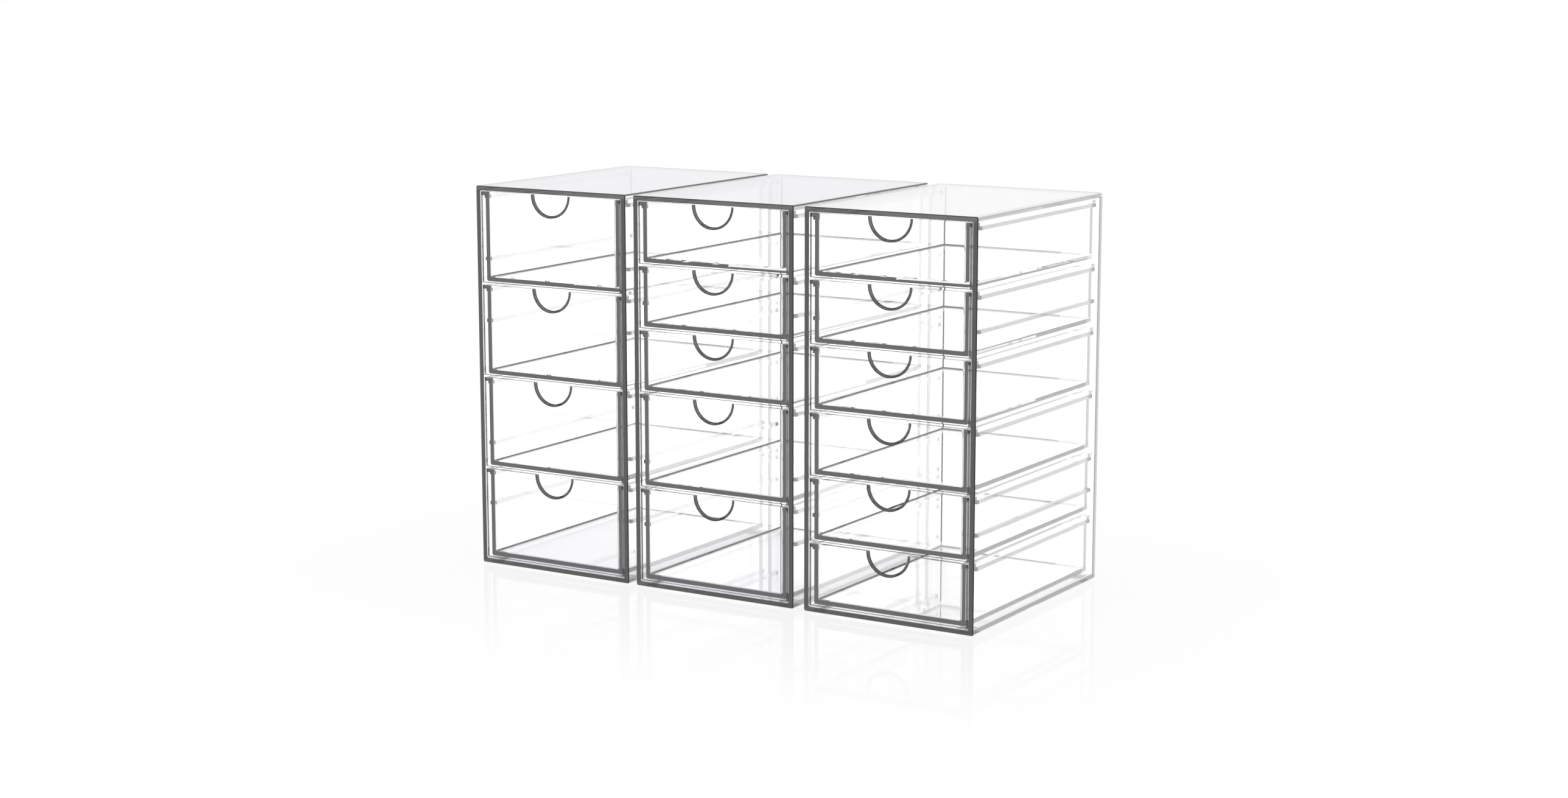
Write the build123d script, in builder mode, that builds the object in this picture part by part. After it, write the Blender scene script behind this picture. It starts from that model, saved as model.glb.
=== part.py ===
import os

from build123d import *

# Set of three clear drawer towers standing in a row, drawn in millimetres.
# X runs along the fronts, -Y is the side the drawers open to, +Z is up.
# The origin is the centre of the set's footprint, on the table under the feet.

# Sizes of one case
case_width = 117.0
case_depth = 169.0
case_height = 249.0
side_wall = 3.2
top_wall = 3.0
back_wall = 2.4
long_edge_round = 1.2
front_edge_bevel = 0.5
opening_corner_round = 0.8

# Places of the three cases along X
gap_a_b = 5.9
gap_b_c = 7.6
set_width = 3 * case_width + gap_a_b + gap_b_c
case_left = {
    "a": -set_width / 2,
    "b": -set_width / 2 + case_width + gap_a_b,
    "c": -set_width / 2 + 2 * case_width + gap_a_b + gap_b_c,
}
case_front = -case_depth / 2

# Feet
foot_height = 1.0
foot_side = 9.0
foot_inset = 9.0

# Inside of a case
inner_width = case_width - 2 * side_wall
inner_height = case_height - 2 * top_wall
inner_bottom = foot_height + top_wall
inner_top = inner_bottom + inner_height

# The inner height is shared out in twelfths: small drawers take two, large ones three
height_unit = inner_height / 12
units_a = [3, 3, 3, 3]
units_b = [2, 2, 2, 3, 3]
units_c = [2, 2, 2, 2, 2, 2]
runner_units = [0, 2, 3, 4, 6, 8, 9, 10]

# Runners, the strips on the side walls that the drawers hang on
runner_width = 2.3
runner_height = 2.3
runner_back_gap = 4.6
runner_glue_line = 0.05

# Clearances of a drawer in its case
plate_side_gap = 0.5
plate_top_gap = 0.6
plate_bottom_gap = 1.0
flange_side_gap = 0.5
flange_rest_gap = 0.3
tray_runner_gap = 0.75
tray_back_gap = 1.7
stop_gap = 0.3

# Drawer front plate
plate_setback = 0.3
plate_thickness = 2.9
plate_edge_bevel = 0.3
notch_radius = 13.1
notch_edge_bevel = 1.2

# Drawer tray behind the plate
tray_wall = 2.6
tray_floor = 2.6
tray_top_drop = 0.1
tray_bottom_lift = 0.9
tray_corner_bevel = 0.5
tray_inner_round = 1.0
tray_bottom_bevel = 0.8
floor_bevel = 0.8
flange_thickness = 2.1
stop_height = 2.6
stop_depth = 2.7

# Places that follow from the sizes above
plate_back = plate_setback + plate_thickness
runner_inset = side_wall + runner_glue_line
tray_inset = runner_inset + runner_width + tray_runner_gap
tray_length = case_depth - back_wall - tray_back_gap - plate_back
runner_front = plate_back + stop_depth + stop_gap
runner_length = case_depth - back_wall - runner_back_gap - runner_front
flange_drop = plate_top_gap + tray_top_drop + flange_thickness
runner_drop = flange_drop + flange_rest_gap

os.makedirs("parts", exist_ok=True)


# Case shell: one clear box open at the front, rounded along its long edges
def build_shell(key):
    x_mid = case_left[key] + case_width / 2
    with BuildPart() as shell:
        with BuildSketch(Plane.XY.offset(foot_height)):
            with Locations((x_mid, case_front + case_depth / 2)):
                Rectangle(case_width, case_depth)
        extrude(amount=case_height)
        fillet(shell.edges().filter_by(Axis.Y), long_edge_round)
        chamfer(shell.faces().sort_by(Axis.Y)[0].edges(), front_edge_bevel)
        opening_plane = Plane(
            origin=(x_mid, case_front, inner_bottom + inner_height / 2), z_dir=(0, 1, 0), x_dir=(1, 0, 0)
        )
        with BuildSketch(opening_plane):
            RectangleRounded(inner_width, inner_height, opening_corner_round)
        extrude(amount=case_depth - back_wall, mode=Mode.SUBTRACT)
    shell.part.label = f"tower_{key}_shell"
    export_step(shell.part, f"parts/tower_{key}_shell.step")


# Runners: eight strips bonded to one side wall of a case
def build_runners(key, side):
    runner_left = {
        "left": case_left[key] + runner_inset,
        "right": case_left[key] + case_width - runner_inset - runner_width,
    }[side]
    with BuildPart() as runners:
        for units in runner_units:
            runner_top = inner_top - units * height_unit - runner_drop
            with Locations((runner_left, case_front + runner_front, runner_top - runner_height)):
                Box(runner_width, runner_length, runner_height, align=(Align.MIN, Align.MIN, Align.MIN))
    runners.part.label = f"tower_{key}_runners_{side}"
    export_step(runners.part, f"parts/tower_{key}_runners_{side}.step")


# Feet: four square pads under a case
def build_feet(key):
    x_mid = case_left[key] + case_width / 2
    with BuildPart() as feet:
        with BuildSketch(Plane.XY):
            with Locations((x_mid, 0)):
                with GridLocations(case_width - 2 * foot_inset, case_depth - 2 * foot_inset, 2, 2):
                    Rectangle(foot_side, foot_side)
        extrude(amount=foot_height)
    feet.part.label = f"tower_{key}_feet"
    export_step(feet.part, f"parts/tower_{key}_feet.step")


# Drawer: notched front plate, tray, side flanges and stop blocks in one clear moulding
def build_drawer(key, number, units_above, units):
    x_mid = case_left[key] + case_width / 2
    bay_top = inner_top - units_above * height_unit
    bay_bottom = bay_top - units * height_unit
    plate_top = bay_top - plate_top_gap
    plate_bottom = bay_bottom + plate_bottom_gap
    plate_width = inner_width - 2 * plate_side_gap
    tray_top = plate_top - tray_top_drop
    tray_bottom = plate_bottom + tray_bottom_lift
    tray_width = case_width - 2 * tray_inset
    flange_reach = inner_width / 2 - flange_side_gap
    plate_y = case_front + plate_setback
    with BuildPart() as drawer:
        # Tray body
        with Locations((x_mid, case_front + plate_back, tray_bottom)):
            Box(
                tray_width, tray_length, tray_top - tray_bottom,
                align=(Align.CENTER, Align.MIN, Align.MIN),
            )
        back_face = drawer.faces().sort_by(Axis.Y)[-1]
        chamfer(back_face.edges().filter_by(Axis.Z), tray_corner_bevel)
        bottom_face = drawer.faces().sort_by(Axis.Z)[0]
        chamfer(bottom_face.edges().filter_by(Axis.Y), tray_bottom_bevel)
        # Flanges that hang on the runners, and the stop blocks at their front ends
        flange_width = flange_reach - tray_width / 2
        for side in (-1, 1):
            x_flange = x_mid + side * (tray_width / 2 + flange_width / 2)
            with Locations((x_flange, case_front + plate_back, tray_top)):
                Box(
                    flange_width, tray_length - tray_corner_bevel, flange_thickness,
                    align=(Align.CENTER, Align.MIN, Align.MAX),
                )
                Box(
                    flange_width, stop_depth, stop_height,
                    align=(Align.CENTER, Align.MIN, Align.MAX),
                )
        # Front plate
        plate_plane = Plane(
            origin=(x_mid, plate_y, (plate_top + plate_bottom) / 2), z_dir=(0, 1, 0), x_dir=(1, 0, 0)
        )
        with BuildSketch(plate_plane):
            Rectangle(plate_width, plate_top - plate_bottom)
        extrude(amount=plate_thickness)
        # Inside of the tray
        with BuildSketch(Plane.XY.offset(tray_bottom + tray_floor)):
            with Locations((x_mid, case_front + plate_back + (tray_length - tray_wall) / 2)):
                RectangleRounded(
                    tray_width - 2 * tray_wall, tray_length - tray_wall, tray_inner_round
                )
        extrude(amount=tray_top - tray_bottom, mode=Mode.SUBTRACT)
        upward_faces = drawer.faces().filter_by(lambda face: face.normal_at().Z > 0.9)
        floor_face = upward_faces.sort_by(Axis.Z)[0]
        chamfer(floor_face.edges(), floor_bevel)
        # Half-round finger notch in the plate's top edge
        with BuildSketch(plate_plane):
            with Locations((0, -(plate_top - plate_bottom) / 2)):
                Circle(notch_radius)
        extrude(amount=plate_thickness, mode=Mode.SUBTRACT)
        front_face = drawer.faces().sort_by(Axis.Y)[0]
        front_edges = front_face.edges().filter_by(GeomType.LINE).sort_by(Axis.Z)
        chamfer(front_edges[0:3], plate_edge_bevel)
        notch_edges = drawer.edges().filter_by(GeomType.CIRCLE).filter_by(
            lambda edge: abs(edge.radius - notch_radius) < 0.01
        )
        chamfer(notch_edges, notch_edge_bevel)
    drawer.part.label = f"tower_{key}_drawer_{number}"
    export_step(drawer.part, f"parts/tower_{key}_drawer_{number}.step")


for key, drawer_units in (("a", units_a), ("b", units_b), ("c", units_c)):
    build_shell(key)
    build_runners(key, "left")
    build_runners(key, "right")
    build_feet(key)
    units_above = 0
    for number, units in enumerate(drawer_units, start=1):
        build_drawer(key, number, units_above, units)
        units_above += units
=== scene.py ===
from math import radians

import bpy
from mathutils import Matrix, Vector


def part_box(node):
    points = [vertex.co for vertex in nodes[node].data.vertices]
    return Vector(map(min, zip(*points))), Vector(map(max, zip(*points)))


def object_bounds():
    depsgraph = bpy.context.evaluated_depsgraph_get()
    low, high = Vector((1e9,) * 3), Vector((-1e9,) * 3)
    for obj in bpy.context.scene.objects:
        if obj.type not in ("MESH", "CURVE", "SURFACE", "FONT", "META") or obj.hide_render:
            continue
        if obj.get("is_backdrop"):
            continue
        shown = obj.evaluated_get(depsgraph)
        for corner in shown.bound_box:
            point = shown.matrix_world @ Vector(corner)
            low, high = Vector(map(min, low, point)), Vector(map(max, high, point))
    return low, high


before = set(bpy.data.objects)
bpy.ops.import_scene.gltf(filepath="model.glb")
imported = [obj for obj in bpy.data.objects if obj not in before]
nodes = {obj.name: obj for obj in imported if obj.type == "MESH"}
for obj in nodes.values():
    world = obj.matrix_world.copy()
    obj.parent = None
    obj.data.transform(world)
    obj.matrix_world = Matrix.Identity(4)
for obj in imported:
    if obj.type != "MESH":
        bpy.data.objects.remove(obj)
cad_low, cad_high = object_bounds()
scene = bpy.context.scene

# Camera
# It stands to the right of the row and a little above it, as for a catalogue view of the
# fronts and right sides. Its lens is worked out for a picture of 2576 by 1311.
picture_width = 2576
focal_pixels = 4432.02
camera_place = (0.8965, -1.4615, 0.4170)
camera_down = 10.016
camera_turn = 31.547
sensor_width = 36.0
bpy.ops.object.select_all(action="DESELECT")
bpy.ops.object.camera_add(
    location=camera_place, rotation=(radians(90 - camera_down), 0, radians(camera_turn))
)
camera = bpy.context.object
camera.data.sensor_width = sensor_width
camera.data.lens = focal_pixels / picture_width * sensor_width
scene.camera = camera
scene.view_settings.view_transform = "Standard"

# Studio
# An even white surround, so clear plastic shows white through its flat faces. Light that
# runs along inside a wall is given up after five reflections, in place of the light that a
# real wall loses on its way, so the ends of the walls show grey.
scene.world = bpy.data.worlds.new("studio")
scene.world.use_nodes = True
scene.world.node_tree.nodes["Background"].inputs["Color"].default_value = (1, 1, 1, 1)
scene.cycles.max_bounces = 64
scene.cycles.diffuse_bounces = 16
scene.cycles.glossy_bounces = 5
scene.cycles.transmission_bounces = 64
scene.cycles.transparent_max_bounces = 64

# Table top
# A white lightly polished board. It mirrors the cases faintly just in front of them, and
# that shine dies away further off.
table_side = 12.0
table_glow = 0.98
mirror_share = 0.10
mirror_reach = 0.22
mirror_roughness = 0.03


def math_node(tree, operation, first, second=None):
    # The first and second may each be a number or another node's output
    node = tree.nodes.new("ShaderNodeMath")
    node.operation = operation
    for socket, value in zip(node.inputs, (first, second)):
        if isinstance(value, (int, float)):
            socket.default_value = value
        elif value is not None:
            tree.links.new(value, socket)
    return node.outputs[0]


def smooth_step(tree, value, low, high, at_low, at_high):
    # Runs from at_low to at_high while the value goes from low to high
    node = tree.nodes.new("ShaderNodeMapRange")
    node.interpolation_type = "SMOOTHSTEP"
    tree.links.new(value, node.inputs["Value"])
    node.inputs["From Min"].default_value = low
    node.inputs["From Max"].default_value = high
    node.inputs["To Min"].default_value = at_low
    node.inputs["To Max"].default_value = at_high
    return node.outputs["Result"]


bpy.ops.mesh.primitive_plane_add(size=table_side)
table = bpy.context.object
table.name = "table_top"
table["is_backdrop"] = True
board = bpy.data.materials.new("table_white")
board.use_nodes = True
tree = board.node_tree
tree.nodes.clear()
place = tree.nodes.new("ShaderNodeTexCoord")
along = tree.nodes.new("ShaderNodeSeparateXYZ")
tree.links.new(place.outputs["Object"], along.inputs[0])
past = tree.nodes.new("ShaderNodeCombineXYZ")
for axis, half in (("X", cad_high.x), ("Y", cad_high.y)):
    beyond = math_node(tree, "SUBTRACT", math_node(tree, "ABSOLUTE", along.outputs[axis]), half)
    tree.links.new(math_node(tree, "MAXIMUM", beyond, 0.0), past.inputs[axis])
distance = tree.nodes.new("ShaderNodeVectorMath")
distance.operation = "LENGTH"
tree.links.new(past.outputs[0], distance.inputs[0])
matte = tree.nodes.new("ShaderNodeBsdfDiffuse")
matte.inputs["Color"].default_value = (1, 1, 1, 1)
glow = tree.nodes.new("ShaderNodeEmission")
rays = tree.nodes.new("ShaderNodeLightPath")
# The board glows only for rays that see it, so it keeps a faint shadow and lights nothing
through = rays.outputs["Is Transmission Ray"]
seen = math_node(tree, "MAXIMUM", rays.outputs["Is Glossy Ray"], through)
seen = math_node(tree, "MAXIMUM", seen, rays.outputs["Is Camera Ray"])
lit = tree.nodes.new("ShaderNodeMixShader")
tree.links.new(math_node(tree, "MULTIPLY", seen, table_glow), lit.inputs["Fac"])
tree.links.new(matte.outputs[0], lit.inputs[1])
tree.links.new(glow.outputs[0], lit.inputs[2])
shine = tree.nodes.new("ShaderNodeBsdfGlossy")
shine.inputs["Roughness"].default_value = mirror_roughness
surface = tree.nodes.new("ShaderNodeMixShader")
fade = smooth_step(tree, distance.outputs["Value"], 0.0, mirror_reach, mirror_share, 0.0)
tree.links.new(fade, surface.inputs["Fac"])
tree.links.new(lit.outputs[0], surface.inputs[1])
tree.links.new(shine.outputs[0], surface.inputs[2])
output = tree.nodes.new("ShaderNodeOutputMaterial")
tree.links.new(surface.outputs[0], output.inputs["Surface"])
table.data.materials.append(board)

# Cases
# Each case is one clear polished moulding, open at the front, with rounded long edges. Its
# front rim and its edges look grey. Masks paint that grey on them as painted shade, and a little
# glow of their own is painted light that stands in for the light that comes out there. The
# lids and other faces that look up carry a painted shade too, and the whole case and the back
# ends of its side walls glow as painted light. All of it is matched to one view of the set.
plastic_bend = 1.49
lost_light = 1.0
bevel_slope = 0.90
flat_slope = 0.98
edge_flat_slope = 0.995
case_front = cad_low.y
rim_depth = 0.0006
# Painted shade on the rim, darker on its bevelled corners, and their glow is painted light
rim_shade = 0.008
rim_corner_shade = 0.0
rim_light = 0.045
rim_corner_light = 0.01
# Painted shade on the left edges, and their glow is painted light
left_edge_shade = 0.45
left_edge_light = 0.2
# The right edges and the lids differ from tower to tower in painted shade and glow, as they do
# in that view
right_edge_shade = {"a": 0.03, "b": 0.03, "c": 0.55}
right_edge_light = {"a": 0.02, "b": 0.02, "c": 0.26}
# Painted shade on faces that look up, the lids among them, lavender on two towers
lavender = (0.45, 0.44, 0.50)
lid_shade = {"a": lavender, "b": lavender, "c": (0.60, 0.60, 0.61)}
# Painted light: a faint glow over the whole case
case_light = 0.05
brightest = max(right_edge_light.values())
# Painted light: a brighter glow on the back ends of the side walls
back_end_width = 0.0034
back_end_depth = 0.0004
back_end_light = 0.22


def edge_line_group():
    # Edge is 1 on bevels and rounded corners, Along on faces that look to the front or back,
    # and Upward on faces that look up
    group = bpy.data.node_groups.new("edge_line", "ShaderNodeTree")
    for name in ("Edge", "Along", "Upward"):
        group.interface.new_socket(name, in_out="OUTPUT", socket_type="NodeSocketFloat")
    finish = group.nodes.new("NodeGroupOutput")
    place = group.nodes.new("ShaderNodeTexCoord")
    facing = group.nodes.new("ShaderNodeSeparateXYZ")
    group.links.new(place.outputs["Normal"], facing.inputs[0])
    sizes = [math_node(group, "ABSOLUTE", facing.outputs[axis]) for axis in "XYZ"]
    most = math_node(group, "MAXIMUM", math_node(group, "MAXIMUM", sizes[0], sizes[1]), sizes[2])
    edge = smooth_step(group, most, bevel_slope, edge_flat_slope, 1.0, 0.0)
    along = smooth_step(group, sizes[1], bevel_slope, flat_slope, 0.0, 1.0)
    upward = smooth_step(group, facing.outputs["Z"], bevel_slope, flat_slope, 0.0, 1.0)
    group.links.new(edge, finish.inputs["Edge"])
    group.links.new(along, finish.inputs["Along"])
    group.links.new(upward, finish.inputs["Upward"])
    return group


def clear_plastic(name):
    plastic = bpy.data.materials.new(name)
    plastic.use_nodes = True
    shader = plastic.node_tree.nodes["Principled BSDF"]
    shader.inputs["Base Color"].default_value = (1, 1, 1, 1)
    shader.inputs["Roughness"].default_value = 0
    shader.inputs["IOR"].default_value = plastic_bend
    shader.inputs["Transmission Weight"].default_value = 1
    shader.inputs["Emission Color"].default_value = (1, 1, 1, 1)
    body = plastic.node_tree.nodes.new("ShaderNodeVolumeAbsorption")
    body.inputs["Color"].default_value = (0, 0, 0, 1)
    body.inputs["Density"].default_value = lost_light
    output = plastic.node_tree.nodes["Material Output"]
    plastic.node_tree.links.new(body.outputs["Volume"], output.inputs["Volume"])
    lines = plastic.node_tree.nodes.new("ShaderNodeGroup")
    lines.node_tree = edge_line
    return plastic, shader, lines


def blend_colour(tree, mask, plain, marked):
    # A single number stands for a grey of that level
    node = tree.nodes.new("ShaderNodeMix")
    node.data_type = "RGBA"
    tree.links.new(mask, node.inputs["Factor"])
    for socket, value in ((node.inputs[6], plain), (node.inputs[7], marked)):
        if isinstance(value, (int, float)):
            socket.default_value = (value, value, value, 1)
        elif isinstance(value, tuple):
            socket.default_value = (*value, 1)
        else:
            tree.links.new(value, socket)
    return node.outputs[2]


def spot_on_piece(tree):
    place = tree.nodes.new("ShaderNodeTexCoord")
    spot = tree.nodes.new("ShaderNodeSeparateXYZ")
    tree.links.new(place.outputs["Object"], spot.inputs[0])
    return spot.outputs


def less_than(tree, first, second):
    return math_node(tree, "LESS_THAN", first, second)


def more_than(tree, first, second):
    return math_node(tree, "GREATER_THAN", first, second)


def both(tree, first, second):
    return math_node(tree, "MULTIPLY", first, second)


def either(tree, first, second):
    return math_node(tree, "MAXIMUM", first, second)


def dress(node, material):
    node.data.materials.clear()
    node.data.materials.append(material)


edge_line = edge_line_group()
for key in "abc":
    shell = f"tower_{key}_shell"
    low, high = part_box(shell)
    middle = (low.x + high.x) / 2
    case_plastic, shader, lines = clear_plastic("case_clear_" + key)
    tree = case_plastic.node_tree
    spot = spot_on_piece(tree)
    edge = lines.outputs["Edge"]
    rim = less_than(tree, spot["Y"], case_front + rim_depth)
    on_right = more_than(tree, spot["X"], middle)
    aside = math_node(tree, "ABSOLUTE", math_node(tree, "SUBTRACT", spot["X"], middle))
    at_side = more_than(tree, aside, high.x - middle - back_end_width)
    at_back = more_than(tree, spot["Y"], high.y - back_end_depth)
    back_end = both(tree, at_side, at_back)

    # Painted shade: the tones of the lids, edges and rim go into the base colour
    colour = blend_colour(tree, lines.outputs["Upward"], 1.0, lid_shade[key])
    edge_shade = blend_colour(tree, on_right, left_edge_shade, right_edge_shade[key])
    colour = blend_colour(tree, edge, colour, edge_shade)
    end_shade = blend_colour(tree, edge, rim_shade, rim_corner_shade)
    colour = blend_colour(tree, rim, colour, end_shade)
    tree.links.new(colour, shader.inputs["Base Color"])

    # Painted light: the glow of the case, its back ends, edges and rim
    left_light = left_edge_light / brightest
    right_light = right_edge_light[key] / brightest
    edge_light = blend_colour(tree, on_right, left_light, right_light)
    light = blend_colour(tree, back_end, case_light / brightest, back_end_light / brightest)
    light = blend_colour(tree, edge, light, edge_light)
    corner_light = rim_corner_light / brightest
    end_light = blend_colour(tree, edge, rim_light / brightest, corner_light)
    light = blend_colour(tree, rim, light, end_light)
    tree.links.new(light, shader.inputs["Emission Color"])
    shader.inputs["Emission Strength"].default_value = brightest
    dress(nodes[shell], case_plastic)

# Runners
# Square clear strips bonded inside the side walls, which the drawers hang on. Their sides
# carry a painted shade that makes them duller than the case, and their ends are painted black
# as shade. The right strips are seen from outside the case and are given a deeper painted shade
# than the left ones, though they are the same plastic. A faint glow of their own is painted
# light.
runner_shade = {"left": 0.75, "right": 0.38}
runner_end_shade = 0.0
runner_light = 0.015
dark_end_length = 0.0018
for side, side_shade in runner_shade.items():
    low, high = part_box("tower_a_runners_" + side)
    runner_plastic, shader, lines = clear_plastic("runner_clear_" + side)
    tree = runner_plastic.node_tree
    spot = spot_on_piece(tree)
    front_end = less_than(tree, spot["Y"], low.y + dark_end_length)
    back_end = more_than(tree, spot["Y"], high.y - dark_end_length)
    dark = either(tree, front_end, back_end)
    dark = either(tree, dark, lines.outputs["Along"])
    # Painted shade: a grey on the sides and black on the ends
    colour = blend_colour(tree, dark, side_shade, runner_end_shade)
    tree.links.new(colour, shader.inputs["Base Color"])
    # Painted light: a faint glow of their own
    shader.inputs["Emission Strength"].default_value = runner_light
    for name, node in nodes.items():
        if name.endswith("runners_" + side):
            dress(node, runner_plastic)

# Feet
# Small square pads of milky soft plastic stuck under the corners of each case.
pad_colour = (0.9, 0.9, 0.9, 1)
pad_roughness = 0.6
pad_clearness = 0.6
pad_plastic = bpy.data.materials.new("pad_milky")
pad_plastic.use_nodes = True
shader = pad_plastic.node_tree.nodes["Principled BSDF"]
shader.inputs["Base Color"].default_value = pad_colour
shader.inputs["Roughness"].default_value = pad_roughness
shader.inputs["Transmission Weight"].default_value = pad_clearness
for name, node in nodes.items():
    if name.endswith("feet"):
        dress(node, pad_plastic)

# Drawers
# Each drawer is one clear moulding: a thick front plate with a half-round finger notch,
# and a tray behind it, which hangs by its flanges on the runners. Masks paint shade on the
# edges of the plate and tray, fainter on the tray's right side, on a narrow border on the
# plate's face, on the rim of its notch and on the stop blocks behind it. The whole drawer
# glows faintly and the back right corner of the tray more, as painted light.
plate_face = case_front + 0.0004
plate_back = case_front + 0.0033
stop_back = case_front + 0.0062
stop_inside = 0.0523
notch_inside = 0.0131
notch_reach = 0.0147
side_border = 0.0015
bottom_border = 0.0005
right_tray_side = 0.03
back_corner_width = 0.012
# Painted shade on the edges, the tray's right edges, the notch ring, the border and the stop
# blocks
plate_edge_shade = 0.01
right_tray_shade = 0.3
notch_inner_shade = 0.015
notch_outer_shade = 0.0
border_shade = 0.03
stop_shade = 0.01
# Painted light: a faint glow over the drawer, and a brighter one at the tray's back right corner
drawer_light = 0.015
back_corner_light = 0.22
for name, node in nodes.items():
    if "drawer" not in name:
        continue
    low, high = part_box(name)
    half_width = (high.x - low.x) / 2
    drawer_plastic, shader, lines = clear_plastic(name.replace("tower", "clear"))
    tree = drawer_plastic.node_tree
    spot = spot_on_piece(tree)
    from_middle = math_node(tree, "SUBTRACT", spot["X"], (low.x + high.x) / 2)
    aside = math_node(tree, "ABSOLUTE", from_middle)
    from_top = math_node(tree, "SUBTRACT", spot["Z"], high.z)
    in_plate = less_than(tree, spot["Y"], plate_back)
    in_tray = math_node(tree, "SUBTRACT", 1.0, in_plate)

    # Ring of painted shade around the notch, whose centre is on the plate's top edge
    reach = tree.nodes.new("ShaderNodeCombineXYZ")
    tree.links.new(from_middle, reach.inputs["X"])
    tree.links.new(from_top, reach.inputs["Z"])
    radius = tree.nodes.new("ShaderNodeVectorMath")
    radius.operation = "LENGTH"
    tree.links.new(reach.outputs[0], radius.inputs[0])
    radius = radius.outputs["Value"]
    ring = both(tree, less_than(tree, radius, notch_reach), in_plate)
    outer = smooth_step(tree, radius, notch_inside, notch_reach, 0.0, 1.0)
    ring_shade = blend_colour(tree, outer, notch_inner_shade, notch_outer_shade)

    # Border of painted shade on the plate's face
    border = more_than(tree, aside, half_width - side_border)
    under = less_than(tree, spot["Z"], low.z + bottom_border)
    on_face = less_than(tree, spot["Y"], plate_face)
    border = both(tree, either(tree, border, under), on_face)

    # Painted shade on the stop blocks, and on the right side of the tray, whose edges get a
    # fainter painted shade
    stop = both(tree, more_than(tree, aside, stop_inside), less_than(tree, spot["Y"], stop_back))
    stop = both(tree, stop, in_tray)
    faint = both(tree, more_than(tree, from_middle, right_tray_side), in_tray)
    edge_shade = blend_colour(tree, faint, plate_edge_shade, right_tray_shade)

    # Painted shade: the edge, border, stop and ring tones go into the base colour
    colour = blend_colour(tree, lines.outputs["Edge"], 1.0, edge_shade)
    colour = blend_colour(tree, border, colour, border_shade)
    colour = blend_colour(tree, stop, colour, stop_shade)
    colour = blend_colour(tree, ring, colour, ring_shade)
    tree.links.new(colour, shader.inputs["Base Color"])

    # Painted light at the back right corner of the tray
    at_side = more_than(tree, from_middle, half_width - back_corner_width)
    at_back = more_than(tree, spot["Y"], high.y - back_end_depth)
    back_corner = both(tree, at_side, at_back)
    light = blend_colour(tree, back_corner, drawer_light / back_corner_light, 1.0)
    tree.links.new(light, shader.inputs["Emission Color"])
    shader.inputs["Emission Strength"].default_value = back_corner_light
    dress(node, drawer_plastic)

low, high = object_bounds()
